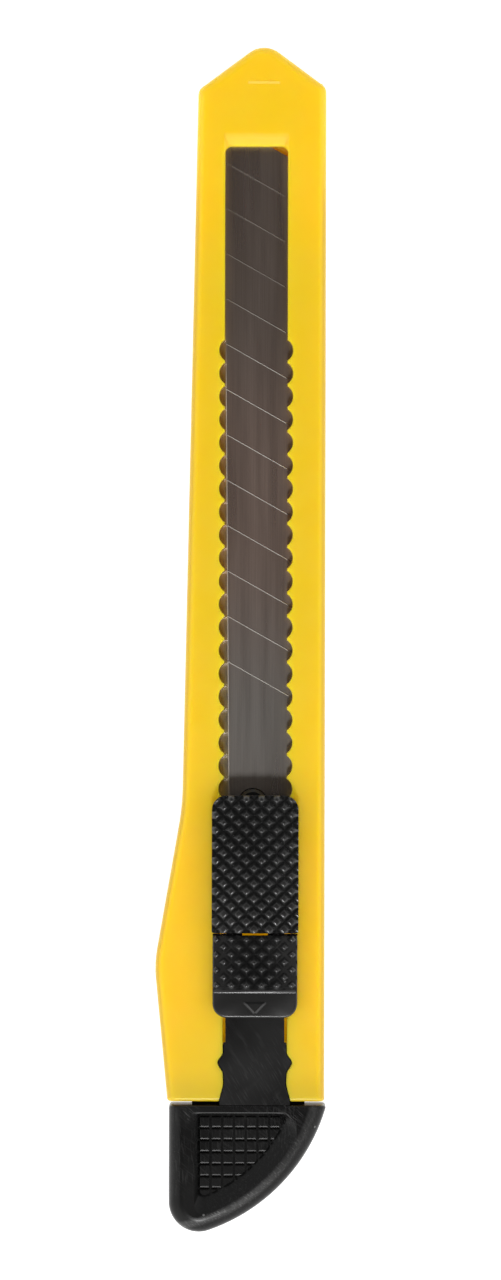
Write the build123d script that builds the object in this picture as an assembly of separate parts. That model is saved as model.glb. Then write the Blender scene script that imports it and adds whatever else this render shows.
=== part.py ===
from build123d import *
import os
from math import cos, radians, tan

# A utility knife with a 9 mm snap-off blade, in millimetres, as it lies on its flat back.
# +Y runs along the knife to the mouth that the blade comes out of, +X to the handle's straight
# edge, and +Z out of the front face. The origin is on the back, under the slot's centre line and
# halfway along the knife. The slider is drawn in its last notch, with the blade drawn in.

# two things closer than this are in the same place, and a cut runs this far past what it cuts
SAME_PLACE = 0.01
OVERRUN = 1.0
WIDER = 30.0
LONGER = 160.0

# handle: the outline's corners, then its section
HANDLE_THICK = 7.0
APEX_X = 0.80
APEX_Y = 65.77
HEAD_SLOPE = 36.5
HEAD_LEFT_X = -6.42
RIGHT_X = 7.65
WAIST = (-8.035, -18.4)
BELLY = (-11.05, -35.64)
REAR_LEFT_X = -9.60
REAR_Y = -50.77
APEX_RADIUS = 2.7
SHOULDER_RADIUS = 1.1
WAIST_RADIUS = 25.0
BELLY_RADIUS = 12.0
FRONT_ROUND = 0.9
BACK_ROUND = 0.5
END_ROUND = 0.35
TRIM = 6.0
TRIM_CORNER = 2.0

# blade channel inside the handle, and the thin slit that carries the blade through the head
CHANNEL_HALF = 5.2
CHANNEL_FLOOR = 1.5
CHANNEL_TOP = 5.3
CHANNEL_END_Y = 50.0
SLIT_FLOOR = 4.5
POCKET_LEFT_X = -7.1
POCKET_RIGHT_X = 5.7
POCKET_END_Y = -44.4
POCKET_FLOOR = 1.3

# window and notched slot in the front wall
WINDOW_TOP_Y = 54.2
WINDOW_CORNER = 0.7
SLOT_HALF = 3.42
SLOT_DRAFT = 2.0
NOTCH_COUNT = 29
NOTCH_PITCH = 2.54
FIRST_NOTCH_Y = 31.82
NOTCH_RADIUS = 1.35
NOTCH_REACH = 4.02
LOWER_SLOT_Y = -40.9
LOWER_SLOT_HALF = 3.55
LATCH_GAP = 0.1
RAMP_LENGTH = 1.15
RAMP_DEPTH = 0.34
RAMP_HALF = 3.0
RAMP_SPREAD = 0.55
RAMP_SOFTNESS = 2.0
BAR_LENGTH = 3.5
BAR_WIDTH = 0.36
BAR_HEIGHT = 0.05
BAR_Y = 61.26
NIB_X = 7.1
NIB_HALF = 0.15
NIB_TOP_Y = 61.3
NIB_BOTTOM = 3.2
NIB_TOP = 3.7

# blade
BLADE_WIDTH = 9.0
BLADE_THICK = 0.4
BLADE_BACK = 4.7
BLADE_LENGTH = 79.8
BLADE_TIP_Y = 57.85
BEVEL_WIDTH = 1.2
EDGE_LAND = 0.04
END_ANGLE = 30.0
SCORE_COUNT = 12
SCORE_PITCH = 5.0
FIRST_SCORE = 4.5
SCORE_DEPTH = 0.05
SCORE_HALF = 0.025
SCORE_RUN = 13.5
BURR_HEIGHT = 0.01
BURR_HALF = 0.03
BLADE_SKEW = 0.5
PEG_X = -0.27
PEG_Y = -18.0
PEG_OFF_CENTRE = -0.67
HOLE_RADIUS = 1.65

# blade carrier, with its peg and its neck through the slot
PEG_RADIUS = 1.55
PEG_CHAMFER = 0.3
PEG_TOP = 6.9
RUNNER_HALF = 4.6
RUNNER_BOTTOM = 1.7
RUNNER_TOP = 4.65
RUNNER_FRONT_Y = -12.0
RUNNER_CORNER = 1.5
SEAT_TOP = 5.15
SEAT_FRONT_Y = -22.3
NECK_HALF = 3.1
CARRIER_REAR_Y = -30.2

# thumb button
PLATE_BOTTOM = 7.2
THUMB_HALF = 4.75
THUMB_TOP_Y = -17.1
THUMB_BOTTOM_Y = -32.2
THUMB_TOP = 10.0
THUMB_CORNER = 1.6
THUMB_FALL_Y = -21.0
THUMB_FALL = 0.35
CROWN = 0.5

# detent arms
ARM_INNER = 1.4
ARM_OUTER = 3.2
ARM_BOTTOM = 4.0
ARM_TOP = 6.6
ARM_END_Y = -40.4
TOOTH_RADIUS = 1.15
TOOTH_BOTTOM = 5.45

# locking button
LOCK_HALF = 4.65
LOCK_TOP_Y = -32.47
LOCK_BOTTOM_Y = -41.5
LOCK_CORNER = 1.55
LOCK_TOP = 9.4
LIP_INNER = 1.95
LIP_REACH = 0.15
LIP_TOP = 7.7
LEDGE_TOP = 8.7
STEP_TOP_Y = -38.4
STEP_BOTTOM_Y = -38.8
ARROW_HALF = 1.56
ARROW_TOP_Y = -39.69
ARROW_TIP_Y = -41.31
ARROW_HEIGHT = 0.25
WEDGE_HALF = 1.2
WEDGE_TOP_Y = -33.0
WEDGE_END_Y = -35.8
STEM_HALF = 0.5
STEM_END_Y = -38.2
FOOT_HALF = 2.8
FOOT_BOTTOM = 1.9
FOOT_TOP = 3.3

# end cap, its plug and its tongue
CAP_TOP_Y = -51.2
CAP_LEFT_X = -9.42
CAP_BOTTOM_Y = -67.0
CAP_CENTRE = (-11.665, -45.83)
CAP_RADIUS = 20.3
CAP_HEEL_RADIUS = 3.3
CAP_FRONT_ROUND = 1.6
CAP_BACK_ROUND = 0.6
CAP_END_ROUND = 0.3
PANEL_LEFT_X = -6.0
PANEL_TOP_Y = -52.1
PANEL_RADIUS = 16.5
PANEL_CORNERS = (0.3, 0.5, 0.9)
BRIM_CORNERS = (0.7, 1.2, 2.2)
PANEL_FLOOR = 6.2
PANEL_BANK = 2.15
PANEL_LEFT_BANK = 0.6
PANEL_LIP = 0.06
PAD_TOP_Y = -52.4
PAD_COLUMNS = 8
PAD_ROWS = 8
PAD_PITCH_X = 1.29
PAD_PITCH_Y = 1.325
PAD_GAP = 0.26
PAD_HEIGHT = 0.4
PAD_EDGE_WIDTH = 0.12
PAD_EDGE_DEPTH = 0.03
PLUG_GAP = 0.2
TONGUE_END_Y = -41.0
TONGUE_BOTTOM = 5.5
TONGUE_TOP = 6.95
TONGUE_TIP_HALF = 3.24
TONGUE_STEP_Y = -44.3
TONGUE_SIDE = ((3.43, -45.55), (4.10, -46.5), (3.44, -47.55), (3.36, -48.9), (3.86, -50.77))
TONGUE_SIDE_RADII = (0.6, 0.5, 0.6, 2.5)


def block(x0, x1, y0, y1, z0, z1):
    """An upright box between two opposite corners."""
    box = Box(x1 - x0, y1 - y0, z1 - z0, align=(Align.MIN, Align.MIN, Align.MIN))
    return Pos(x0, y0, z0) * box


def prism(points, z0, z1):
    """An upright prism on a polygon of plan points."""
    return Pos(0, 0, z0) * extrude(make_face(Polyline(*points, close=True)), amount=z1 - z0)


def post(x, y, radius, z0, z1):
    """An upright round post."""
    return Pos(x, y, z0) * Cylinder(radius, z1 - z0, align=(Align.CENTER, Align.CENTER, Align.MIN))


def upright_edges_at(solid, y):
    """The upright edges of a solid that stand at one place along the knife."""
    return [e for e in solid.edges().filter_by(Axis.Z) if abs(e.center().Y - y) < SAME_PLACE]


def round_rims(solid, front, back):
    """Rounds the edges of a slab's front and back faces."""
    solid = fillet(solid.faces().sort_by(Axis.Z)[-1].edges(), front)
    return fillet(solid.faces().sort_by(Axis.Z)[0].edges(), back)


def handle_outline():
    """The handle in plan, run on past its rear end so that the end can be cut square."""
    drop = tan(radians(HEAD_SLOPE))
    past_end = REAR_Y - TRIM
    rear_x = BELLY[0] + (REAR_LEFT_X - BELLY[0]) * (past_end - BELLY[1]) / (REAR_Y - BELLY[1])
    corners = [
        (APEX_X, APEX_Y),
        (RIGHT_X, APEX_Y - drop * (RIGHT_X - APEX_X)),
        (RIGHT_X, past_end),
        (rear_x, past_end),
        BELLY,
        WAIST,
        (HEAD_LEFT_X, APEX_Y - drop * (APEX_X - HEAD_LEFT_X)),
    ]
    radii = [
        APEX_RADIUS,
        SHOULDER_RADIUS,
        TRIM_CORNER,
        TRIM_CORNER,
        BELLY_RADIUS,
        WAIST_RADIUS,
        SHOULDER_RADIUS,
    ]
    return make_face(FilletPolyline(*corners, radius=radii, close=True))


def latch_outline(tip_half, end_y):
    """The latch tongue in plan: a plain tip, a step, a bump on each side, and a flared root."""
    sides = []
    for side in (1, -1):
        run = [(side * x, y) for x, y in ((TONGUE_SIDE[0][0], TONGUE_STEP_Y), *TONGUE_SIDE)]
        sides.append(FilletPolyline(*run, radius=TONGUE_SIDE_RADII))
    right, left = sides
    tip = Polyline(
        right @ 0,
        (tip_half, TONGUE_STEP_Y),
        (tip_half, end_y),
        (-tip_half, end_y),
        (-tip_half, TONGUE_STEP_Y),
        left @ 0,
    )
    root_half = TONGUE_SIDE[-1][0]
    root = Polyline(right @ 1, (root_half, CAP_TOP_Y), (-root_half, CAP_TOP_Y), left @ 1)
    return make_face(Wire([*right.edges(), *left.edges(), *tip.edges(), *root.edges()]))


def slot_cuts():
    """Everything cut through the front wall: window, notches and the tongue's seat."""
    wall = HANDLE_THICK - CHANNEL_TOP
    window = Pos(0, (WINDOW_TOP_Y + LOWER_SLOT_Y) / 2) * Rectangle(
        2 * SLOT_HALF, WINDOW_TOP_Y - LOWER_SLOT_Y
    )
    window = fillet(window.vertices().sort_by(Axis.Y)[-2:], WINDOW_CORNER)
    cuts = [Pos(0, 0, CHANNEL_TOP) * extrude(window, amount=wall, taper=-SLOT_DRAFT)]
    flare = wall * tan(radians(SLOT_DRAFT))
    notch = Cone(NOTCH_RADIUS, NOTCH_RADIUS + flare, wall, align=(Align.CENTER, Align.CENTER, Align.MIN))
    for side in (-1, 1):
        for k in range(NOTCH_COUNT):
            y = FIRST_NOTCH_Y - k * NOTCH_PITCH
            cuts.append(Pos(side * (NOTCH_REACH - NOTCH_RADIUS), y, CHANNEL_TOP) * notch)
    seat = latch_outline(LOWER_SLOT_HALF - LATCH_GAP, LOWER_SLOT_Y + OVERRUN)
    cuts.append(Pos(0, 0, CHANNEL_TOP) * extrude(offset(seat, LATCH_GAP), amount=wall))
    return cuts


def window_ramp():
    """The sloped lip above the window, as the shallow wedge that is cut away."""
    low = Pos(0, WINDOW_TOP_Y - RAMP_LENGTH / 2, HANDLE_THICK - RAMP_DEPTH) * Rectangle(
        2 * RAMP_HALF, RAMP_LENGTH
    )
    high = Pos(0, WINDOW_TOP_Y, HANDLE_THICK) * Rectangle(
        2 * (RAMP_HALF + RAMP_SPREAD), 2 * RAMP_LENGTH
    )
    return loft([low, high], ruled=True)


def head_bar():
    """A short low ridge across the head, gently sloped on the side of the window."""
    near = BAR_Y - BAR_WIDTH / 2
    far = BAR_Y + BAR_WIDTH / 2
    sunk = HANDLE_THICK - BAR_HEIGHT
    section = [
        (near, sunk),
        (near, HANDLE_THICK),
        (BAR_Y + BAR_WIDTH / 4, HANDLE_THICK + BAR_HEIGHT),
        (far, HANDLE_THICK),
        (far, sunk),
    ]
    ridge = Plane.YZ * make_face(Polyline(*section, close=True))
    return Pos(APEX_X, 0, 0) * extrude(ridge, amount=BAR_LENGTH / 2, both=True)


def handle_blank():
    """The handle before anything is cut into it, with its rear end cut square and softened."""
    body = round_rims(extrude(handle_outline(), amount=HANDLE_THICK), FRONT_ROUND, BACK_ROUND)
    body -= block(-WIDER, WIDER, REAR_Y - 2 * TRIM, REAR_Y, 0, HANDLE_THICK)
    return fillet(body.faces().sort_by(Axis.Y)[0].edges(), END_ROUND)


def handle_body():
    body = handle_blank() - window_ramp()
    crest = [
        e
        for e in body.edges().group_by(Axis.Z)[-1]
        if WINDOW_TOP_Y + SAME_PLACE < e.center().Y < WINDOW_TOP_Y + RAMP_LENGTH + SAME_PLACE
        and abs(e.center().X) < RAMP_HALF + RAMP_SPREAD + SAME_PLACE
    ]
    body = fillet(crest, RAMP_SOFTNESS)
    body -= block(-CHANNEL_HALF, CHANNEL_HALF, REAR_Y, CHANNEL_END_Y, CHANNEL_FLOOR, CHANNEL_TOP)
    body -= block(-CHANNEL_HALF, CHANNEL_HALF, CHANNEL_END_Y, APEX_Y + OVERRUN, SLIT_FLOOR, CHANNEL_TOP)
    body -= block(POCKET_LEFT_X, POCKET_RIGHT_X, REAR_Y, POCKET_END_Y, POCKET_FLOOR, CHANNEL_TOP)
    body -= slot_cuts()
    nib = block(NIB_X - NIB_HALF, NIB_X + NIB_HALF, NIB_TOP_Y - OVERRUN, NIB_TOP_Y, NIB_BOTTOM, NIB_TOP)
    return body + head_bar() + nib


def score_line(half, height, length):
    """A low three-sided bar along a score line: a burr if height is positive, a groove if not."""
    section = Plane.YZ * make_face(Polyline((-half, 0), (0, height), (half, 0), close=True))
    return Rot(0, 0, -END_ANGLE) * extrude(section, amount=length / 2, both=True)


def snap_off_blade():
    half = BLADE_THICK / 2
    land = EDGE_LAND / 2
    tail_y = BLADE_TIP_Y - BLADE_LENGTH
    slope = tan(radians(END_ANGLE))
    section = [
        (0, land),
        (BEVEL_WIDTH, half),
        (BLADE_WIDTH, half),
        (BLADE_WIDTH, -half),
        (BEVEL_WIDTH, -half),
        (0, -land),
    ]
    strip = extrude(Plane.XZ * make_face(Polyline(*section, close=True)), amount=-BLADE_LENGTH)
    strip = Pos(0, tail_y, 0) * strip
    plan = [(0, tail_y), (BLADE_WIDTH, tail_y), (BLADE_WIDTH, BLADE_TIP_Y - slope * BLADE_WIDTH)]
    plan.append((0, BLADE_TIP_Y))
    strip &= prism(plan, -half, half)
    middle = BLADE_WIDTH / 2
    for k in range(SCORE_COUNT):
        y = BLADE_TIP_Y - FIRST_SCORE - k * SCORE_PITCH - slope * middle
        groove = score_line(SCORE_HALF, -SCORE_DEPTH, SCORE_RUN)
        strip -= Pos(middle, y, half) * groove
        burr = score_line(BURR_HALF, BURR_HEIGHT, (BLADE_WIDTH - 2 * BEVEL_WIDTH) / cos(radians(END_ANGLE)))
        beside = (SCORE_HALF + BURR_HALF) / cos(radians(END_ANGLE))
        strip += Pos(middle, y - beside, half) * burr
    hole_x = middle + PEG_OFF_CENTRE
    strip -= post(hole_x, PEG_Y, HOLE_RADIUS, -half, half)
    to_peg = Pos(-hole_x, -PEG_Y, 0) * strip
    return Pos(PEG_X, PEG_Y, BLADE_BACK + half) * Rot(0, 0, BLADE_SKEW) * to_peg


def blade_carrier():
    runner = block(
        -RUNNER_HALF, RUNNER_HALF, CARRIER_REAR_Y, RUNNER_FRONT_Y, RUNNER_BOTTOM, RUNNER_TOP
    )
    runner = fillet(upright_edges_at(runner, RUNNER_FRONT_Y), RUNNER_CORNER)
    seat = block(-RUNNER_HALF, RUNNER_HALF, CARRIER_REAR_Y, SEAT_FRONT_Y, RUNNER_BOTTOM, SEAT_TOP)
    neck = block(-NECK_HALF, NECK_HALF, CARRIER_REAR_Y, SEAT_FRONT_Y, RUNNER_BOTTOM, PLATE_BOTTOM)
    peg = post(PEG_X, PEG_Y, PEG_RADIUS, RUNNER_BOTTOM, PEG_TOP)
    peg = chamfer(peg.edges().sort_by(Axis.Z)[-1], PEG_CHAMFER)
    return runner + seat + neck + peg


def crowned(button, top):
    """A button whose top is rounded across its width, like a low barrel along the knife."""
    radius = (THUMB_HALF**2 + CROWN**2) / (2 * CROWN)
    barrel = Rot(90, 0, 0) * Cylinder(radius, LONGER)
    return button & Pos(0, 0, top - radius) * barrel


def thumb_button():
    low_top = THUMB_TOP - THUMB_FALL
    sides = Polyline(
        (THUMB_BOTTOM_Y, low_top),
        (THUMB_BOTTOM_Y, PLATE_BOTTOM),
        (THUMB_TOP_Y, PLATE_BOTTOM),
        (THUMB_TOP_Y, THUMB_TOP),
        (THUMB_FALL_Y, THUMB_TOP),
    )
    halfway = ((THUMB_FALL_Y + THUMB_BOTTOM_Y) / 2, THUMB_TOP - THUMB_FALL / 4)
    fall = ThreePointArc((THUMB_FALL_Y, THUMB_TOP), halfway, (THUMB_BOTTOM_Y, low_top))
    section = Plane.YZ * make_face(Wire([*sides.edges(), fall]))
    plate = extrude(section, amount=THUMB_HALF, both=True)
    plate = fillet(upright_edges_at(plate, THUMB_TOP_Y), THUMB_CORNER)
    return crowned(plate, THUMB_TOP)


def detent_arm(side):
    """One of the two springy arms, on the side given as -1 or 1, with its tooth in a notch."""
    inner = min(side * ARM_INNER, side * ARM_OUTER)
    outer = max(side * ARM_INNER, side * ARM_OUTER)
    arm = block(inner, outer, ARM_END_Y, CARRIER_REAR_Y, ARM_BOTTOM, ARM_TOP)
    tooth_x = side * (NOTCH_REACH - NOTCH_RADIUS)
    tooth_y = FIRST_NOTCH_Y - (NOTCH_COUNT - 1) * NOTCH_PITCH
    tooth = post(tooth_x, tooth_y, TOOTH_RADIUS, TOOTH_BOTTOM, ARM_TOP)
    return arm + tooth


def lock_button():
    plate = block(-LOCK_HALF, LOCK_HALF, LOCK_BOTTOM_Y, LOCK_TOP_Y, PLATE_BOTTOM, LOCK_TOP)
    plate = fillet(upright_edges_at(plate, LOCK_BOTTOM_Y), LOCK_CORNER)
    past = LOCK_BOTTOM_Y - OVERRUN
    cut = [(STEP_TOP_Y, LOCK_TOP), (STEP_BOTTOM_Y, LEDGE_TOP), (past, LEDGE_TOP), (past, LOCK_TOP)]
    step = Plane.YZ * make_face(Polyline(*cut, close=True))
    plate -= extrude(step, amount=2 * LOCK_HALF, both=True)
    plate = crowned(plate, LOCK_TOP)
    arrow = [(-ARROW_HALF, ARROW_TOP_Y), (ARROW_HALF, ARROW_TOP_Y), (0, ARROW_TIP_Y)]
    plate += prism(arrow, PLATE_BOTTOM, LEDGE_TOP + ARROW_HEIGHT)
    wedge = block(-WEDGE_HALF, WEDGE_HALF, WEDGE_END_Y, WEDGE_TOP_Y, FOOT_BOTTOM, PLATE_BOTTOM)
    stem = block(-STEM_HALF, STEM_HALF, STEM_END_Y, WEDGE_TOP_Y, FOOT_BOTTOM, PLATE_BOTTOM)
    foot = block(-FOOT_HALF, FOOT_HALF, STEM_END_Y, WEDGE_TOP_Y, FOOT_BOTTOM, FOOT_TOP)
    lips = []
    for x0, x1 in ((-LOCK_HALF, -LIP_INNER), (LIP_INNER, LOCK_HALF)):
        lips.append(block(x0, x1, LOCK_TOP_Y - LIP_REACH, LOCK_TOP_Y + LIP_REACH, PLATE_BOTTOM, LIP_TOP))
    return plate + lips + wedge + stem + foot


def panel_outline(bank, left_bank, lip, corners):
    """The cap's grip panel in plan, spread at its curved side, its left side and its top."""
    size = CAP_RADIUS
    left = PANEL_LEFT_X - left_bank
    top = PANEL_TOP_Y + lip
    corner = Pos(left + size / 2, top - size / 2) * Rectangle(size, size)
    sheet = corner & Pos(*CAP_CENTRE) * Circle(PANEL_RADIUS + bank)
    top_left, heel, top_right = corners
    sheet = fillet(sheet.vertices().sort_by(Axis.Y)[0], heel)
    uppers = sheet.vertices().group_by(Axis.Y)[-1].sort_by(Axis.X)
    sheet = fillet(uppers[0], top_left)
    return fillet(sheet.vertices().group_by(Axis.Y)[-1].sort_by(Axis.X)[-1], top_right)


def grip_pad():
    """One raised square pad with a sloped edge round its top, standing on the panel."""
    wide = PAD_PITCH_X - PAD_GAP
    high = PAD_PITCH_Y - PAD_GAP
    edge_z = PANEL_FLOOR + PAD_HEIGHT - PAD_EDGE_DEPTH
    foot = Pos(0, 0, PANEL_FLOOR) * extrude(Rectangle(wide, high), amount=edge_z - PANEL_FLOOR)
    rim = Pos(0, 0, edge_z) * Rectangle(wide, high)
    top = Pos(0, 0, PANEL_FLOOR + PAD_HEIGHT) * Rectangle(
        wide - 2 * PAD_EDGE_WIDTH, high - 2 * PAD_EDGE_WIDTH
    )
    return foot + loft([rim, top], ruled=True)


def grip_pads():
    """Rows of pads that fill the panel and stop at its curved side."""
    inside = extrude(panel_outline(0, 0, 0, PANEL_CORNERS), amount=HANDLE_THICK)
    pad = grip_pad()
    pads = []
    for row in range(PAD_ROWS):
        for column in range(PAD_COLUMNS):
            x = PANEL_LEFT_X + (PAD_PITCH_X - PAD_GAP) / 2 + column * PAD_PITCH_X
            y = PAD_TOP_Y - PAD_PITCH_Y / 2 - row * PAD_PITCH_Y
            kept = Pos(x, y, 0) * pad & inside
            if kept:
                pads.append(kept)
    return pads


def end_cap():
    top_y = CAP_TOP_Y + TRIM
    sheet = Pos(CAP_LEFT_X + WIDER / 2, (top_y + CAP_BOTTOM_Y) / 2) * Rectangle(
        WIDER, top_y - CAP_BOTTOM_Y
    )
    outline = sheet & Pos(*CAP_CENTRE) * Circle(CAP_RADIUS)
    heel = outline.vertices().sort_by(Axis.Y)[0]
    outline = fillet(heel, CAP_HEEL_RADIUS)
    cap = round_rims(extrude(outline, amount=HANDLE_THICK), CAP_FRONT_ROUND, CAP_BACK_ROUND)
    cap -= block(-WIDER, WIDER, CAP_TOP_Y, top_y + OVERRUN, 0, HANDLE_THICK)
    cap = fillet(cap.faces().sort_by(Axis.Y)[-1].edges(), CAP_END_ROUND)
    floor = Pos(0, 0, PANEL_FLOOR) * panel_outline(0, 0, 0, PANEL_CORNERS)
    brim = Pos(0, 0, HANDLE_THICK) * panel_outline(
        PANEL_BANK, PANEL_LEFT_BANK, PANEL_LIP, BRIM_CORNERS
    )
    cap -= loft([floor, brim], ruled=True)
    cap += grip_pads()
    plug = block(
        POCKET_LEFT_X + PLUG_GAP,
        POCKET_RIGHT_X - PLUG_GAP,
        CAP_TOP_Y - CAP_END_ROUND,
        POCKET_END_Y - PLUG_GAP,
        POCKET_FLOOR + PLUG_GAP,
        CHANNEL_TOP - PLUG_GAP,
    )
    return cap + plug


def cap_latch_tongue():
    outline = latch_outline(TONGUE_TIP_HALF, TONGUE_END_Y)
    return Pos(0, 0, TONGUE_BOTTOM) * extrude(outline, amount=TONGUE_TOP - TONGUE_BOTTOM)


def build():
    return {
        "handle_body": handle_body(),
        "snap_off_blade": snap_off_blade(),
        "blade_carrier": blade_carrier(),
        "thumb_button": thumb_button(),
        "detent_arm_left": detent_arm(-1),
        "detent_arm_right": detent_arm(1),
        "lock_button": lock_button(),
        "end_cap": end_cap(),
        "cap_latch_tongue": cap_latch_tongue(),
    }


os.makedirs("parts", exist_ok=True)
for name, shape in build().items():
    shape.label = name
    export_step(shape, f"parts/{name}.step")
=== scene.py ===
import math

import bmesh
import bpy
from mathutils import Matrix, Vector


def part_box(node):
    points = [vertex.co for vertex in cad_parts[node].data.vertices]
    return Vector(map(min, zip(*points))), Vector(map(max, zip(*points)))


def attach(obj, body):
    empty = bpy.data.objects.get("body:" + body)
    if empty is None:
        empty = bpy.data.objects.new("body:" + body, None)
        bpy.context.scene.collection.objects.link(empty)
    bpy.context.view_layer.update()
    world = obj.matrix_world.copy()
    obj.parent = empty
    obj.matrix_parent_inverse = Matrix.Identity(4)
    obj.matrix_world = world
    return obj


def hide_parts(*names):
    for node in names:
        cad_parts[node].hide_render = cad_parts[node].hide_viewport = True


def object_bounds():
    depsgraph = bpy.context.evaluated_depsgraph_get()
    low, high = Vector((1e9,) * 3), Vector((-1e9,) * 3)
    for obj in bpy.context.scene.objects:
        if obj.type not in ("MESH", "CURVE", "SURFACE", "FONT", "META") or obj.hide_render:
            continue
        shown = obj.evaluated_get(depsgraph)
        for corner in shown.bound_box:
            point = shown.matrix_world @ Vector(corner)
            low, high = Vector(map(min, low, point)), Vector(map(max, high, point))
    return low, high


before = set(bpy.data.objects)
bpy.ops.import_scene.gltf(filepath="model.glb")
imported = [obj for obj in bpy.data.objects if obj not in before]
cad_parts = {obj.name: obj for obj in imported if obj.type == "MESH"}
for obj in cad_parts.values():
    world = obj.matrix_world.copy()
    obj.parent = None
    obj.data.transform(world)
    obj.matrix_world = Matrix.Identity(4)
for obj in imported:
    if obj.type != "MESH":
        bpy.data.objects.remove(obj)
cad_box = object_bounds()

MM = 0.001

# the blade: the width of its ground bevel, and how far it is turned in the channel
BEVEL_WIDTH = 1.2 * MM
BLADE_SKEW = math.radians(0.5)
BEVEL_HIGHLIGHT_HALF = 0.07 * MM       # half the width of the painted highlight line along the bevel
BEVEL_HIGHLIGHT_CORE = 0.02 * MM       # half the width of its full strength

# the handle: the softened lip behind the head, and how deep light goes into the plastic
LIP_FROM_APEX = 10.2 * MM
LIP_AREA = 5.5 * MM
LIP_AREA_FULL = 4.5 * MM
LIP_SOFTNESS = 0.45 * MM
SKIN_Z = 6.2 * MM              # above this height light goes in by SKIN_DEPTH
CHANNEL_Z = 5.2 * MM           # below this height it goes in by CHANNEL_DEPTH
SKIN_DEPTH = 2.0 * MM
CHANNEL_DEPTH = 5.0 * MM

# the end cap: the painted highlight band on its curved crest, with scratches in it, and the painted
# highlight line along the top edge of its panel
CREST_CENTRE_X = -2.245 * MM   # from the cap's left side
CREST_CENTRE_Y = 19.37 * MM    # from the cap's rear end
CREST_INNER = (18.4 * MM, 18.8 * MM)
CREST_OUTER = (19.6 * MM, 19.1 * MM)
PANEL_TOP = 13.16 * MM         # from the cap's rear end
PANEL_MIDDLE = 7.7 * MM        # from the cap's left side
PANEL_HIGHLIGHT_HALF = 0.09 * MM
PANEL_HIGHLIGHT_CORE = 0.04 * MM


# ---------------------------------------------------------------- small helpers

def add_node(tree, kind, **values):
    """Adds a shader node. Names that are sockets set the socket, other names set the node."""
    made = tree.nodes.new(kind)
    for key, value in values.items():
        socket = made.inputs.get(key.replace("_", " "))
        if socket is not None:
            socket.default_value = value
        else:
            setattr(made, key, value)
    return made


def new_object(name, mesh):
    obj = bpy.data.objects.new(name, mesh)
    bpy.context.scene.collection.objects.link(obj)
    return obj


def apply_modifiers(obj):
    """Replaces an object's mesh by its evaluated mesh and drops its modifiers."""
    graph = bpy.context.evaluated_depsgraph_get()
    mesh = bpy.data.meshes.new_from_object(obj.evaluated_get(graph))
    obj.modifiers.clear()
    obj.data = mesh


def boolean(obj, other, operation):
    """Combines two closed meshes and removes the second."""
    cut = obj.modifiers.new("cut", "BOOLEAN")
    cut.operation = operation
    cut.solver = "EXACT"
    cut.object = other
    bpy.context.view_layer.update()
    apply_modifiers(obj)
    bpy.data.objects.remove(other)


def set_material(obj, material):
    obj.data.materials.clear()
    obj.data.materials.append(material)


# ---------------------------------------------------------------- materials

def start_material(name):
    material = bpy.data.materials.new(name)
    material.use_nodes = True
    tree = material.node_tree
    shader = tree.nodes["Principled BSDF"]
    place = add_node(tree, "ShaderNodeTexCoord").outputs["Object"]
    return material, tree, shader, place


def stretched(tree, place, x, y, z):
    """Coordinates scaled per axis, so that a noise runs along the axis scaled least."""
    mapping = add_node(tree, "ShaderNodeMapping")
    mapping.inputs["Scale"].default_value = (x, y, z)
    tree.links.new(place, mapping.inputs["Vector"])
    return mapping.outputs["Vector"]


def noise(tree, vector, scale, detail=3.0, roughness=0.5):
    made = add_node(tree, "ShaderNodeTexNoise", Scale=scale, Detail=detail, Roughness=roughness)
    tree.links.new(vector, made.inputs["Vector"])
    return made.outputs["Fac"]


def ramp(tree, value, low, high, out_low=0.0, out_high=1.0):
    made = add_node(tree, "ShaderNodeMapRange")
    made.interpolation_type = "SMOOTHSTEP"
    for name, number in (("From Min", low), ("From Max", high), ("To Min", out_low), ("To Max", out_high)):
        made.inputs[name].default_value = number
    tree.links.new(value, made.inputs["Value"])
    return made.outputs["Result"]


def mix_colour(tree, factor, first, second):
    """Mixes two colours. Each is a socket or an RGB triple."""
    made = add_node(tree, "ShaderNodeMix", data_type="RGBA")
    sockets = [s for s in made.inputs if s.type == "RGBA"]
    for socket, colour in zip(sockets, (first, second)):
        if isinstance(colour, tuple):
            socket.default_value = (*colour, 1.0)
        else:
            tree.links.new(colour, socket)
    factor_in = [s for s in made.inputs if s.name == "Factor" and s.type == "VALUE"][0]
    tree.links.new(factor, factor_in)
    return [s for s in made.outputs if s.type == "RGBA"][0]


def multiply(tree, first, second):
    made = add_node(tree, "ShaderNodeMath", operation="MULTIPLY")
    tree.links.new(first, made.inputs[0])
    if isinstance(second, float):
        made.inputs[1].default_value = second
    else:
        tree.links.new(second, made.inputs[1])
    return made.outputs[0]


def bump(tree, shader, height, strength, distance, normal=None):
    made = add_node(tree, "ShaderNodeBump", Strength=strength, Distance=distance)
    tree.links.new(height, made.inputs["Height"])
    if normal:
        tree.links.new(normal, made.inputs["Normal"])
    tree.links.new(made.outputs["Normal"], shader.inputs["Normal"])


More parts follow.
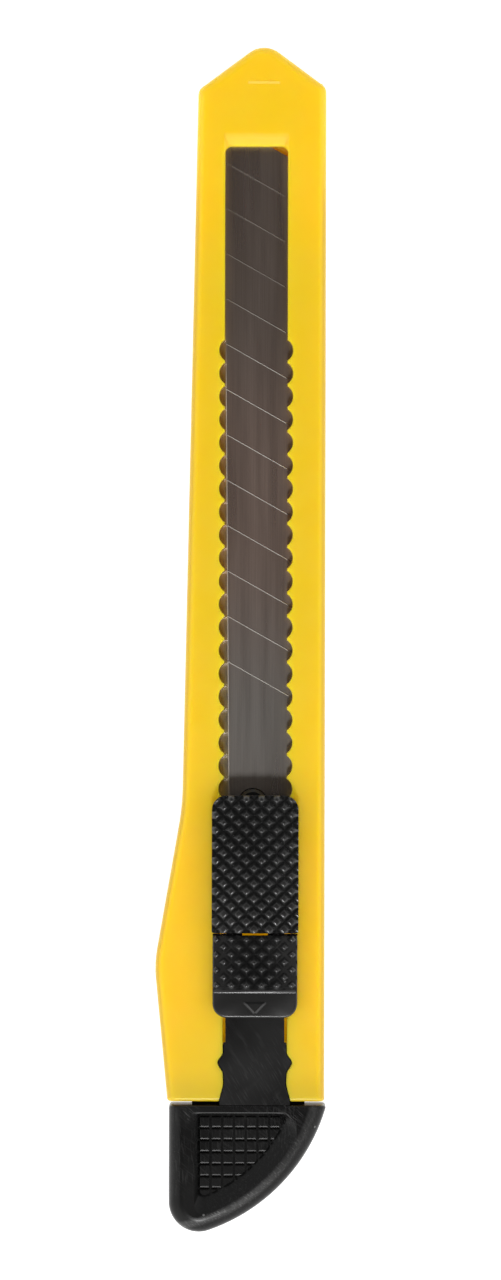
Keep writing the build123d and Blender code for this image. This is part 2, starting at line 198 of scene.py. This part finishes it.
def yellow_plastic():
    material, tree, shader, place = start_material("yellow_plastic")
    main = (0.79, 0.565, 0.009)
    warm = (0.80, 0.560, 0.007)
    # painted shade: edge and head_edge_shade are the colours of surfaces turned away from upright, darker on
    # the body's sides than at the head
    edge = (0.60, 0.385, 0.008)
    head_edge_shade = (0.90, 0.570, 0.010)
    # painted light and shade along the knife, lighter at the head and beside the thumb button and darker at
    # the rear end: where each band starts to show, where it is full, and the colour
    light_and_shade_bands = (
        (0.038, 0.056, (1.00, 0.595, 0.007)),
        (0.004, -0.014, (0.84, 0.582, 0.009)),
        (-0.016, -0.030, (0.95, 0.590, 0.008)),
        (-0.034, -0.048, (0.80, 0.552, 0.010)),
        (-0.0465, -0.0507, (0.66, 0.480, 0.013)),
    )
    cloud = ramp(tree, noise(tree, place, 45.0), 0.35, 0.65)
    colour = mix_colour(tree, cloud, main, warm)
    axes = add_node(tree, "ShaderNodeSeparateXYZ")
    tree.links.new(place, axes.inputs[0])
    for start, full, tone in light_and_shade_bands:
        colour = mix_colour(tree, ramp(tree, axes.outputs["Y"], start, full), colour, tone)
    facing = add_node(tree, "ShaderNodeSeparateXYZ")
    tree.links.new(add_node(tree, "ShaderNodeNewGeometry").outputs["Normal"], facing.inputs[0])
    # painted shade: the further a surface turns from upright, the more it takes the darker edge colour
    turned = ramp(tree, facing.outputs["Z"], 0.995, 0.72)
    rim = mix_colour(tree, ramp(tree, axes.outputs["Y"], 0.045, 0.056), edge, head_edge_shade)
    colour = mix_colour(tree, multiply(tree, turned, 0.85), colour, rim)
    tree.links.new(colour, shader.inputs["Base Color"])
    shader.inputs["Specular IOR Level"].default_value = 0.5
    shader.inputs["Subsurface Weight"].default_value = 1.0
    shader.inputs["Subsurface Radius"].default_value = (1.0, 0.9, 0.06)
    deep = ramp(tree, axes.outputs["Z"], SKIN_Z, CHANNEL_Z, SKIN_DEPTH, CHANNEL_DEPTH)
    tree.links.new(deep, shader.inputs["Subsurface Scale"])
    lip_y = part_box("handle_body")[1][1] - LIP_FROM_APEX
    near_lip = ramp(tree, from_centre(tree, place, (0.0, lip_y)), LIP_AREA, LIP_AREA_FULL)
    softened = add_node(tree, "ShaderNodeBevel")
    tree.links.new(multiply(tree, near_lip, LIP_SOFTNESS), softened.inputs["Radius"])
    rough = ramp(tree, noise(tree, place, 300.0), 0.3, 0.7, 0.32, 0.38)
    sloped = multiply(tree, near_lip, ramp(tree, facing.outputs["Z"], 0.999, 0.975))
    rougher = add_node(tree, "ShaderNodeMath", operation="MULTIPLY_ADD")
    tree.links.new(sloped, rougher.inputs[0])
    rougher.inputs[1].default_value = 0.22
    tree.links.new(rough, rougher.inputs[2])
    tree.links.new(rougher.outputs[0], shader.inputs["Roughness"])
    skin = noise(tree, place, 2500.0, 2.0)
    bump(tree, shader, skin, 0.12, 0.00003, softened.outputs["Normal"])
    return material


def scratches(tree, place, angle, thickness, length):
    """Fine strokes that run at an angle in degrees from the knife's length, from 0 to 1."""
    turned = add_node(tree, "ShaderNodeMapping", vector_type="TEXTURE")
    turned.inputs["Rotation"].default_value = (0.0, 0.0, math.radians(angle))
    tree.links.new(place, turned.inputs["Vector"])
    across, along = 1 / thickness, 1 / length
    strokes = noise(tree, stretched(tree, turned.outputs["Vector"], across, along, across), 1.0)
    return ramp(tree, strokes, 0.52, 0.72)


def from_centre(tree, place, centre):
    """The distance in plan from an upright line through a centre."""
    shifted = add_node(tree, "ShaderNodeMapping")
    shifted.inputs["Location"].default_value = (-centre[0], -centre[1], 0.0)
    shifted.inputs["Scale"].default_value = (1.0, 1.0, 0.0)
    tree.links.new(place, shifted.inputs["Vector"])
    length = add_node(tree, "ShaderNodeVectorMath", operation="LENGTH")
    tree.links.new(shifted.outputs["Vector"], length.inputs[0])
    return length.outputs["Value"]


def wear_and_highlights_on_cap(tree, place, colour):
    """Marks on the end cap: a painted highlight band with scratches on its curved crest, a painted highlight
    line along the panel's top edge, and two scratched smudges beside it.
    """
    low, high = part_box("end_cap")
    centre = (low[0] + CREST_CENTRE_X, low[1] + CREST_CENTRE_Y)
    distance = from_centre(tree, place, centre)
    crest_highlight_and_scratches = multiply(tree, ramp(tree, distance, *CREST_INNER), ramp(tree, distance, *CREST_OUTER))
    axes = add_node(tree, "ShaderNodeSeparateXYZ")
    tree.links.new(place, axes.inputs[0])
    towards_rear = ramp(tree, axes.outputs["Y"], low[1] + 9.5 * MM, low[1] + 4.0 * MM, 0.4, 1.0)
    crest_highlight_and_scratches = multiply(tree, crest_highlight_and_scratches, towards_rear)
    # painted highlight: the crest band is lighter, more so towards the rear, and its scratches lighter still
    colour = mix_colour(tree, multiply(tree, crest_highlight_and_scratches, 0.8), colour, (0.050, 0.050, 0.050))
    fine = scratches(tree, place, 50.0, 0.00008, 0.0012)
    colour = mix_colour(tree, multiply(tree, crest_highlight_and_scratches, fine), colour, (0.14, 0.14, 0.14))
    top_y = low[1] + PANEL_TOP
    smudges = (
        (low[0] + 2.3 * MM, top_y, 1.3 * MM),
        (high[0] - 3.6 * MM, top_y - 0.3 * MM, 1.5 * MM),
    )
    for x, y, size in smudges:
        near = ramp(tree, from_centre(tree, place, (x, y)), size, 0.3 * size)
        colour = mix_colour(tree, multiply(tree, near, fine), colour, (0.07, 0.07, 0.07))
    # painted highlight: a lighter line along the panel's top edge, fading out at its ends
    rear_side = ramp(tree, axes.outputs["Y"], top_y - PANEL_HIGHLIGHT_HALF, top_y - PANEL_HIGHLIGHT_CORE)
    front_side = ramp(tree, axes.outputs["Y"], top_y + PANEL_HIGHLIGHT_HALF, top_y + PANEL_HIGHLIGHT_CORE)
    panel_highlight = multiply(tree, rear_side, front_side)
    ends = ramp(tree, from_centre(tree, place, (low[0] + PANEL_MIDDLE, top_y)), 5.3 * MM, 4.3 * MM)
    return mix_colour(tree, multiply(tree, panel_highlight, ends), colour, (0.10, 0.10, 0.10))


def black_plastic(name, base=0.011, shine=0.5, dust=0.5, roughness=(0.22, 0.28), strokes=(), wear_and_highlights=None):
    """Satin black moulding, with sparse specks of dust.

    strokes are scratches as (angle, thickness, length, lightness), and the last argument adds a
    piece's own wear and painted highlights to the colour.
    """
    material, tree, shader, place = start_material(name)
    patches = noise(tree, place, 140.0, 2.0)
    colour = mix_colour(tree, ramp(tree, patches, 0.40, 0.62), (base,) * 3, (base * 1.25,) * 3)
    for angle, thickness, length, lightness in strokes:
        lines = scratches(tree, place, angle, thickness, length)
        where = ramp(tree, noise(tree, place, 70.0 + abs(angle), 2.0), 0.42, 0.62)
        colour = mix_colour(tree, multiply(tree, lines, where), colour, (lightness,) * 3)
    if wear_and_highlights:
        colour = wear_and_highlights(tree, place, colour)
    specks = add_node(tree, "ShaderNodeTexVoronoi", Scale=900.0)
    tree.links.new(place, specks.inputs["Vector"])
    near = ramp(tree, specks.outputs["Distance"], 0.16, 0.06)
    pick = add_node(tree, "ShaderNodeSeparateColor")
    tree.links.new(specks.outputs["Color"], pick.inputs[0])
    some = ramp(tree, pick.outputs[0], 0.90, 0.97)
    colour = mix_colour(tree, multiply(tree, multiply(tree, near, some), dust), colour, (0.22, 0.22, 0.22))
    tree.links.new(colour, shader.inputs["Base Color"])
    low, high = roughness
    tree.links.new(ramp(tree, patches, 0.3, 0.7, low, high), shader.inputs["Roughness"])
    shader.inputs["Specular IOR Level"].default_value = shine
    bump(tree, shader, noise(tree, place, 3500.0, 3.0), 0.12, 0.00002)
    return material


def blade_steel():
    """Ground steel with a painted reflection, darker and browner towards the tip, burrs painted with a
    highlight and a painted highlight line along the bevel.
    """
    material, tree, shader, place = start_material("blade_steel")
    lines = noise(tree, stretched(tree, place, 9000.0, 90.0, 9000.0), 1.0, 3.0)
    broad = noise(tree, stretched(tree, place, 700.0, 40.0, 700.0), 1.0, 2.0)
    axes = add_node(tree, "ShaderNodeSeparateXYZ")
    tree.links.new(place, axes.inputs[0])
    grain = ramp(tree, lines, 0.3, 0.7)
    # painted reflection: the steel is darker and browner towards the tip and lighter and greyer further back
    brown = mix_colour(tree, grain, (0.310, 0.252, 0.222), (0.350, 0.290, 0.256))
    light = mix_colour(tree, grain, (0.395, 0.300, 0.258), (0.455, 0.348, 0.300))
    grey = mix_colour(tree, grain, (0.345, 0.322, 0.302), (0.390, 0.366, 0.342))
    colour = mix_colour(tree, ramp(tree, axes.outputs["Y"], 0.038, 0.020), brown, light)
    colour = mix_colour(tree, ramp(tree, axes.outputs["Y"], 0.012, -0.010), colour, grey)
    low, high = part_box("snap_off_blade")
    along = add_node(tree, "ShaderNodeMapping", vector_type="TEXTURE")
    along.inputs["Rotation"].default_value = (0.0, 0.0, BLADE_SKEW)
    along.inputs["Location"].default_value = (low[0], low[1], 0.0)
    tree.links.new(place, along.inputs["Vector"])
    across = add_node(tree, "ShaderNodeSeparateXYZ")
    tree.links.new(along.outputs["Vector"], across.inputs[0])
    sine, cosine = math.sin(BLADE_SKEW), math.cos(BLADE_SKEW)
    bevel_x = BEVEL_WIDTH + (high[1] - low[1]) * sine * cosine
    from_bevel = add_node(tree, "ShaderNodeMath", operation="SUBTRACT")
    tree.links.new(across.outputs["X"], from_bevel.inputs[0])
    from_bevel.inputs[1].default_value = bevel_x
    aside = add_node(tree, "ShaderNodeMath", operation="ABSOLUTE")
    tree.links.new(from_bevel.outputs[0], aside.inputs[0])
    # painted highlight: a lighter line along the bevel's edge, fading out towards the tip
    bevel_highlight = ramp(tree, aside.outputs[0], BEVEL_HIGHLIGHT_HALF, BEVEL_HIGHLIGHT_CORE)
    bevel_highlight = multiply(tree, bevel_highlight, ramp(tree, axes.outputs["Y"], 0.036, 0.024))
    colour = mix_colour(tree, bevel_highlight, colour, (0.46, 0.43, 0.40))
    # painted highlight: facets tilted like the burrs beside the score lines get a lighter colour, dimmer
    # towards the tip
    facing = add_node(tree, "ShaderNodeSeparateXYZ")
    tree.links.new(add_node(tree, "ShaderNodeTexCoord").outputs["Normal"], facing.inputs[0])
    tilted = ramp(tree, facing.outputs["Z"], 0.975, 0.960)
    burr_highlight = multiply(tree, tilted, ramp(tree, facing.outputs["Z"], 0.80, 0.90))
    from_tip = ramp(tree, axes.outputs["Y"], 0.040, 0.026)
    burr_highlight_colour = mix_colour(tree, from_tip, (0.20, 0.18, 0.16), (0.46, 0.44, 0.41))
    colour = mix_colour(tree, burr_highlight, colour, burr_highlight_colour)
    tree.links.new(colour, shader.inputs["Base Color"])
    shader.inputs["Metallic"].default_value = 1.0
    rough = ramp(tree, broad, 0.3, 0.7, 0.27, 0.30)
    rougher = add_node(tree, "ShaderNodeMath", operation="MULTIPLY_ADD")
    tree.links.new(bevel_highlight, rougher.inputs[0])
    rougher.inputs[1].default_value = 0.3
    tree.links.new(rough, rougher.inputs[2])
    tree.links.new(rougher.outputs[0], shader.inputs["Roughness"])
    bump(tree, shader, lines, 0.15, 0.000004)
    return material


# ---------------------------------------------------------------- knurled buttons

KNURL_STEP = 0.835 * MM        # half the distance between pyramids in a row
KNURL_SIDE = KNURL_STEP * math.sqrt(2.0)
KNURL_SLOPE = math.radians(58.0)
# a pyramid's rounded rim, from its flat top outwards: width of each band and how much it tilts
KNURL_RIM = ((0.05 * MM, 6.0), (0.06 * MM, 12.0), (0.04 * MM, 20.0), (0.04 * MM, 32.0))
KNURL_QUARTER = 4              # points along each side of a pyramid
CROWN = 0.5 * MM               # how much a button's top falls towards its sides


def pyramid_ring(share, roundness):
    """One level of a pyramid in lattice units: a square whose corners are rounded by a share."""
    points = []
    corners = ((-0.5, -0.5), (0.5, -0.5), (0.5, 0.5), (-0.5, 0.5))
    for (a, b), (c, d) in zip(corners, corners[1:] + corners[:1]):
        for k in range(KNURL_QUARTER):
            x = a + (c - a) * k / KNURL_QUARTER
            y = b + (d - b) * k / KNURL_QUARTER
            shrink = 0.5 / math.hypot(x, y)
            mixed = 1 + (shrink - 1) * roundness
            points.append((x * share * mixed, y * share * mixed))
    return points


def knurl_slab(name, box, first, shape, floor_z):
    """A closed slab whose top is rows of square pyramids set at 45 degrees.

    box is (x0, x1, y0, y1), first is one pyramid's centre, and shape(x, y) gives the height of
    the tips and the depth of the valleys below them.
    """
    x0, x1, y0, y1 = box
    mesh = bmesh.new()
    known = {}
    drop_in_rim = sum(width * math.tan(math.radians(tilt)) for width, tilt in KNURL_RIM)
    rim_width = sum(width for width, _ in KNURL_RIM)

    def vertex(i, j, depth, level):
        """The mesh vertex at lattice place (i, j); neighbours share the ones in the valley."""
        key = (round(i, 4), round(j, 4), level)
        if key not in known:
            x = first[0] + KNURL_STEP * (i + j)
            y = first[1] + KNURL_STEP * (i - j)
            top, valley = shape(x, y)
            known[key] = mesh.verts.new((x, y, top - (valley if level == "valley" else depth)))
        return known[key]

    reach = int((max(x1 - x0, y1 - y0)) / KNURL_STEP) + 4
    spare = 2 * KNURL_STEP
    for i in range(-reach, reach + 1):
        for j in range(-reach, reach + 1):
            x = first[0] + KNURL_STEP * (i + j)
            y = first[1] + KNURL_STEP * (i - j)
            if not (x0 - spare < x < x1 + spare and y0 - spare < y < y1 + spare):
                continue
            valley = shape(x, y)[1]
            run = (valley - drop_in_rim) / math.tan(KNURL_SLOPE) + rim_width
            half = KNURL_SIDE / 2 - run
            levels = [(half / KNURL_SIDE * 2, 0.0)]
            for width, tilt in KNURL_RIM:
                share, depth = levels[-1]
                levels.append((share + 2 * width / KNURL_SIDE, depth + width * math.tan(math.radians(tilt))))
            rings = [
                [vertex(i + a, j + b, depth, (i, j, k)) for a, b in pyramid_ring(share, 0.45)]
                for k, (share, depth) in enumerate(levels)
            ]
            rings.append([vertex(i + a, j + b, 0.0, "valley") for a, b in pyramid_ring(1.0, 0.0)])
            mesh.faces.new(rings[0])
            for inner, outer in zip(rings, rings[1:]):
                for k in range(len(inner)):
                    m = (k + 1) % len(inner)
                    mesh.faces.new((outer[k], outer[m], inner[m], inner[k]))
    rim = [e for e in mesh.edges if e.is_boundary]
    skirt = bmesh.ops.extrude_edge_only(mesh, edges=rim)
    low = [v for v in skirt["geom"] if isinstance(v, bmesh.types.BMVert)]
    for v in low:
        v.co.z = floor_z
    bmesh.ops.contextual_create(mesh, geom=[e for e in mesh.edges if e.is_boundary])
    bmesh.ops.recalc_face_normals(mesh, faces=mesh.faces)
    data = bpy.data.meshes.new(name)
    mesh.to_mesh(data)
    mesh.free()
    return new_object(name, data)


def smooth_within(obj, angle):
    """Shades a mesh smooth, apart from edges that turn by more than an angle in degrees."""
    mesh = bmesh.new()
    mesh.from_mesh(obj.data)
    for face in mesh.faces:
        face.smooth = True
    for edge in mesh.edges:
        edge.smooth = edge.is_manifold and edge.calc_face_angle() < math.radians(angle)
    mesh.to_mesh(obj.data)
    mesh.free()


def rounded_plan(box, radii, steps=8):
    """A rectangle's outline with a radius at each corner, counter-clockwise from (x0, y0)."""
    x0, x1, y0, y1 = box
    points = []
    turns = (
        ((x0, y0), (1, 1), 180),
        ((x1, y0), (-1, 1), 270),
        ((x1, y1), (-1, -1), 0),
        ((x0, y1), (1, -1), 90),
    )
    for ((x, y), (sx, sy), start), r in zip(turns, radii):
        for k in range(steps + 1):
            angle = math.radians(start + 90 * k / steps)
            points.append((x + sx * r + r * math.cos(angle), y + sy * r + r * math.sin(angle)))
    return points


def plan_prism(name, points, z0, z1):
    """A closed upright prism between two heights, on a counter-clockwise outline."""
    mesh = bmesh.new()
    low = [mesh.verts.new((x, y, z0)) for x, y in points]
    high = [mesh.verts.new((x, y, z1)) for x, y in points]
    mesh.faces.new(list(reversed(low)))
    mesh.faces.new(high)
    count = len(points)
    for k in range(count):
        m = (k + 1) % count
        mesh.faces.new((low[k], low[m], high[m], high[k]))
    data = bpy.data.meshes.new(name)
    mesh.to_mesh(data)
    mesh.free()
    return new_object(name, data)


def soften(obj, width, segments=2, angle=40.0):
    """Rounds an object's sharp edges a little."""
    bevel = obj.modifiers.new("soft_edges", "BEVEL")
    bevel.width = width
    bevel.segments = segments
    bevel.limit_method = "ANGLE"
    bevel.angle_limit = math.radians(angle)
    apply_modifiers(obj)


THUMB_CORNER = 1.6 * MM
THUMB_FALL_START = 3.9 * MM    # from the thumb button's front end
THUMB_FALL = 0.35 * MM         # how much its top falls towards its rear end
SMALL_CORNER = 0.25 * MM


def thumb_button_piece():
    """The thumb button: a crowned knurled plate, rounded at its front corners."""
    low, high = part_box("thumb_button")
    box = (low[0], high[0], low[1], high[1])
    half_width = high[0]
    fall_y = high[1] - THUMB_FALL_START

    def shape(x, y):
        down = max(0.0, (fall_y - y) / (fall_y - low[1]))
        aside = min(1.0, abs(x) / half_width)
        top = high[2] - CROWN * aside**2 - THUMB_FALL * down**2
        return top, (0.62 - 0.06 * aside**2 - 0.22 * down) * MM

    first = (-0.967 * MM, high[1] - 0.49 * MM)
    slab = knurl_slab("knurled_thumb_button", box, first, shape, low[2])
    radii = (SMALL_CORNER, SMALL_CORNER, THUMB_CORNER, THUMB_CORNER)
    plan = plan_prism("plan", rounded_plan(box, radii), low[2], high[2])
    boolean(slab, plan, "INTERSECT")
    smooth_within(slab, 30.0)
    return slab


LOCK_LIP = 0.15 * MM           # reach of the two lips that narrow the gap to the thumb button
LOCK_LIP_INNER = 1.95 * MM
LOCK_LIP_HEIGHT = 0.5 * MM
LOCK_KNURL_LENGTH = 5.93 * MM
LOCK_LEDGE_DROP = 0.7 * MM
LOCK_CORNER = 1.55 * MM
LOCK_SMALL_CORNER = 0.2 * MM
ARROW_HALF = 1.56 * MM
ARROW_BASE = 7.22 * MM         # from the plate's front end
ARROW_TIP = 8.84 * MM


def lock_button_piece():
    """The locking button: knurled pad, lower ledge with an arrow, two lips, stem and foot."""
    low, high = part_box("lock_button")
    front = high[1] - LOCK_LIP
    box = (low[0], high[0], low[1], front)
    plate_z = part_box("thumb_button")[0][2]
    step_y = front - LOCK_KNURL_LENGTH
    ledge_z = high[2] - LOCK_LEDGE_DROP
    half_width = high[0]

    def shape(x, y):
        aside = min(1.0, abs(x) / half_width)
        return high[2] - CROWN * aside**2, 0.66 * MM

    first = (-0.935 * MM, front - 2.11 * MM)
    pad_box = (box[0], box[1], step_y, box[3])
    slab = knurl_slab("knurled_lock_button", pad_box, first, shape, plate_z)
    corner = LOCK_CORNER
    small = LOCK_SMALL_CORNER
    pad = plan_prism("pad", rounded_plan(pad_box, (small,) * 4), plate_z, high[2])
    boolean(slab, pad, "INTERSECT")
    bar_box = (box[0], box[1], step_y - 0.42 * MM, step_y + 0.3 * MM)
    bar = plan_prism("bar", rounded_plan(bar_box, (small,) * 4), plate_z, ledge_z + 0.1 * MM)
    soften(bar, 0.08 * MM, 2)
    boolean(slab, bar, "UNION")
    ledge = plan_prism("ledge", rounded_plan(box, (corner, corner, small, small)), plate_z, ledge_z)
    soften(ledge, 0.25 * MM, 5)
    arrow = [(-ARROW_HALF, front - ARROW_BASE), (0.0, front - ARROW_TIP), (ARROW_HALF, front - ARROW_BASE)]
    mark = plan_prism("mark", arrow, ledge_z - 0.4 * MM, ledge_z + 0.25 * MM)
    soften(mark, 0.30 * MM, 1)
    boolean(ledge, mark, "UNION")
    boolean(slab, ledge, "UNION")
    for x0, x1 in ((low[0], -LOCK_LIP_INNER), (LOCK_LIP_INNER, high[0])):
        lip_plan = rounded_plan((x0, x1, front - LOCK_LIP, high[1]), (0.05 * MM,) * 4)
        lip_piece = plan_prism("lip", lip_plan, plate_z, plate_z + LOCK_LIP_HEIGHT)
        boolean(slab, lip_piece, "UNION")
    stem_box = (-1.2 * MM, 1.2 * MM, front - 3.3 * MM, front - 0.6 * MM)
    stem = plan_prism("stem", rounded_plan(stem_box, (small,) * 4), low[2], plate_z + 0.2 * MM)
    boolean(slab, stem, "UNION")
    foot_box = (-2.8 * MM, 2.8 * MM, front - 5.7 * MM, front - 0.55 * MM)
    foot = plan_prism("foot", rounded_plan(foot_box, (small,) * 4), low[2], low[2] + 1.4 * MM)
    boolean(slab, foot, "UNION")
    smooth_within(slab, 30.0)
    return slab


# ---------------------------------------------------------------- stage, light and camera

KEY_PLACE = (0.0, -0.636, 1.247)
KEY_SIZE = (0.18, 0.18)
KEY_POWER = 6.6
FLOOR_HALF = 2.0
FLOOR_GAP = 0.00002            # keeps the floor just clear of the knife's back
FLOOR_GREY = (0.50, 0.50, 0.50, 1.0)
FLOOR_ROUGHNESS = 0.9
FLOOR_GLOW = 0.80              # makes the floor white, as the photo's background is
CAMERA_HEIGHT = 0.90
CAMERA_X = -0.565 * MM
CAMERA_Y = -0.05 * MM
CAMERA_ROLL = 0.13             # degrees
HANDLE_TOP = 7.0 * MM          # the level at which the view is VIEW_HEIGHT high
VIEW_HEIGHT = 140.66 * MM
SENSOR = 36.0


def make_world():
    """Soft surroundings, brightest towards the knife's butt, with a dark patch overhead."""
    world = bpy.data.worlds.new("studio")
    bpy.context.scene.world = world
    world.use_nodes = True
    tree = world.node_tree
    direction = add_node(tree, "ShaderNodeTexCoord").outputs["Generated"]
    axes = add_node(tree, "ShaderNodeSeparateXYZ")
    tree.links.new(direction, axes.inputs[0])
    towards_butt = ramp(tree, axes.outputs["Y"], 0.6, -0.6)
    glow = mix_colour(tree, towards_butt, (0.77, 0.77, 0.77), (1.52, 1.51, 1.49))
    patch = ramp(tree, axes.outputs["Z"], 0.76, 0.95)
    glow = mix_colour(tree, patch, glow, (0.050, 0.040, 0.034))
    tree.links.new(glow, tree.nodes["Background"].inputs["Color"])


def add_light(name, place, size, power):
    """A soft rectangular light aimed at the middle of the knife."""
    data = bpy.data.lights.new(name, "AREA")
    data.shape = "RECTANGLE"
    data.size, data.size_y = size
    data.energy = power
    light = bpy.data.objects.new(name, data)
    bpy.context.scene.collection.objects.link(light)
    light.location = place
    light.rotation_euler = (-Vector(place)).to_track_quat("-Z", "Y").to_euler()


def make_lights():
    """A small key light near overhead, on the side of the knife's butt."""
    add_light("key", KEY_PLACE, KEY_SIZE, KEY_POWER)


def make_floor():
    """Plain pale paper that glows a little."""
    size = FLOOR_HALF
    mesh = bpy.data.meshes.new("floor")
    z = cad_box[0][2] - FLOOR_GAP
    corners = [(-size, -size, z), (size, -size, z), (size, size, z), (-size, size, z)]
    mesh.from_pydata(corners, [], [(0, 1, 2, 3)])
    floor = new_object("floor", mesh)
    material, _, shader, _ = start_material("floor_paper")
    shader.inputs["Base Color"].default_value = FLOOR_GREY
    shader.inputs["Roughness"].default_value = FLOOR_ROUGHNESS
    shader.inputs["Emission Color"].default_value = (1.0, 1.0, 1.0, 1.0)
    shader.inputs["Emission Strength"].default_value = FLOOR_GLOW
    floor.data.materials.append(material)


def make_camera():
    """Straight above the knife, as in the photo, with its point towards the top of the picture."""
    data = bpy.data.cameras.new("camera")
    data.sensor_fit = "VERTICAL"
    data.sensor_height = SENSOR
    data.lens = SENSOR * (CAMERA_HEIGHT - HANDLE_TOP) / VIEW_HEIGHT
    camera = bpy.data.objects.new("camera", data)
    bpy.context.scene.collection.objects.link(camera)
    camera.location = (CAMERA_X, CAMERA_Y, CAMERA_HEIGHT)
    camera.rotation_euler = (0.0, 0.0, math.radians(CAMERA_ROLL))
    bpy.context.scene.camera = camera


def main():
    make_camera()
    make_world()
    make_lights()
    make_floor()
    bpy.context.scene.view_settings.view_transform = "Standard"
    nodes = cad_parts
    set_material(nodes["handle_body"], yellow_plastic())
    set_material(nodes["snap_off_blade"], blade_steel())
    inner = black_plastic("inner_black_plastic", 0.006, 0.3, 0.2)
    for name in ("blade_carrier", "detent_arm_left", "detent_arm_right"):
        set_material(nodes[name], inner)
    # scratches as (angle, thickness, length, lightness)
    rubbed = ((4.0, 0.00014, 0.0016, 0.020), (52.0, 0.00012, 0.003, 0.018))
    cap = black_plastic("cap_black_plastic", 0.004, 0.20, 0.6, (0.24, 0.30), rubbed, wear_and_highlights_on_cap)
    set_material(nodes["end_cap"], cap)
    wiped = ((38.0, 0.0008, 0.004, 0.016), (-52.0, 0.0006, 0.003, 0.014), (30.0, 0.00012, 0.002, 0.024))
    tongue = black_plastic("tongue_black_plastic", 0.0055, 0.26, 0.4, (0.26, 0.36), wiped)
    set_material(nodes["cap_latch_tongue"], tongue)
    button = black_plastic("button_black_plastic")
    thumb = thumb_button_piece()
    set_material(thumb, button)
    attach(thumb, "slider")
    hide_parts("thumb_button")
    lock = lock_button_piece()
    set_material(lock, button)
    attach(lock, "lock")
    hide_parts("lock_button")


main()
